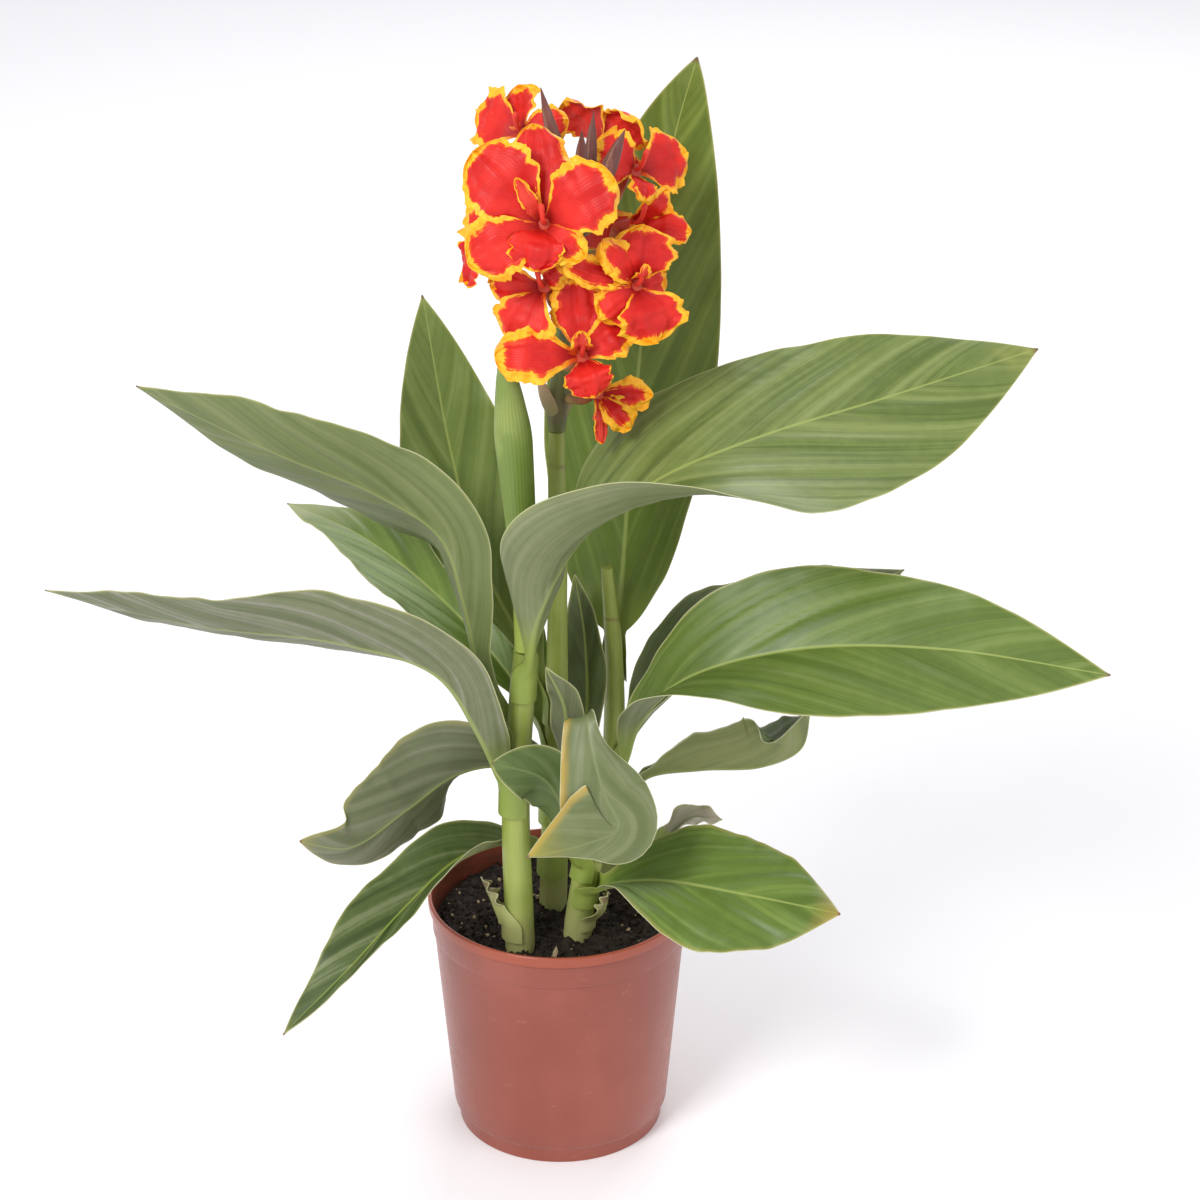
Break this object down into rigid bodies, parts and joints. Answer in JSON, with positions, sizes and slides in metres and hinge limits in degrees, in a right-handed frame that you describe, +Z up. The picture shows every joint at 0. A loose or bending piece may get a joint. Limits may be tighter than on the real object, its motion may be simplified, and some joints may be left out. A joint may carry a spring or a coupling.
{
  "type": "potted canna lily plant",
  "caption": "Potted canna lily: broad green leaves on upright shoots, a head of red and yellow blooms, brown plastic nursery pot.",
  "frame": {"origin": "centre of the pot's foot, on the ground plane the pot stands on", "axes": "+Z up, -Y towards the side the blooms face, +X to the right seen from that side"},
  "size_m": [0.5825, 0.279, 0.6181],
  "materials": {
    "leaf_green": "satin",
    "stem_green": "satin",
    "petal_red": "matte",
    "bud_purple": "satin",
    "dry_husk": "matte",
    "pot_plastic": "satin",
    "compost": "matte"
  },
  "bodies": {
    "root": {"bloom_back": "petal_red", "bloom_bottom": "petal_red", "bloom_front": "petal_red", "bloom_left": "petal_red", "bloom_left_low": "petal_red", "bloom_low": "petal_red", "bloom_right": "petal_red", "bloom_right_far": "petal_red", "bloom_right_top": "petal_red", "bloom_top": "petal_red", "bloom_top_left": "petal_red", "bud_back": "bud_purple", "bud_left": "bud_purple", "bud_low": "bud_purple", "bud_middle": "bud_purple", "bud_right": "bud_purple", "flower_stalk": "stem_green", "husk_left": "dry_husk", "husk_right": "dry_husk", "leaf_front_dark": "leaf_green", "leaf_front_drooping": "leaf_green", "leaf_inner_small": "leaf_green", "leaf_left_back": "leaf_green", "leaf_left_bottom": "leaf_green", "leaf_left_long": "leaf_green", "leaf_left_lower": "leaf_green", "leaf_left_upper": "leaf_green", "leaf_left_upright": "leaf_green", "leaf_middle_small": "leaf_green", "leaf_right_back": "leaf_green", "leaf_right_lower": "leaf_green", "leaf_right_middle": "leaf_green", "leaf_right_rolled": "leaf_green", "leaf_right_upper": "leaf_green", "leaf_right_upright": "leaf_green", "leaf_small": "leaf_green", "leaf_spear": "leaf_green", "pot": "pot_plastic", "shoot_back": "stem_green", "shoot_flowering": "stem_green", "shoot_front": "stem_green", "shoot_right": "stem_green", "shoot_small": "stem_green", "soil": "compost"}
  },
  "joints": []
}
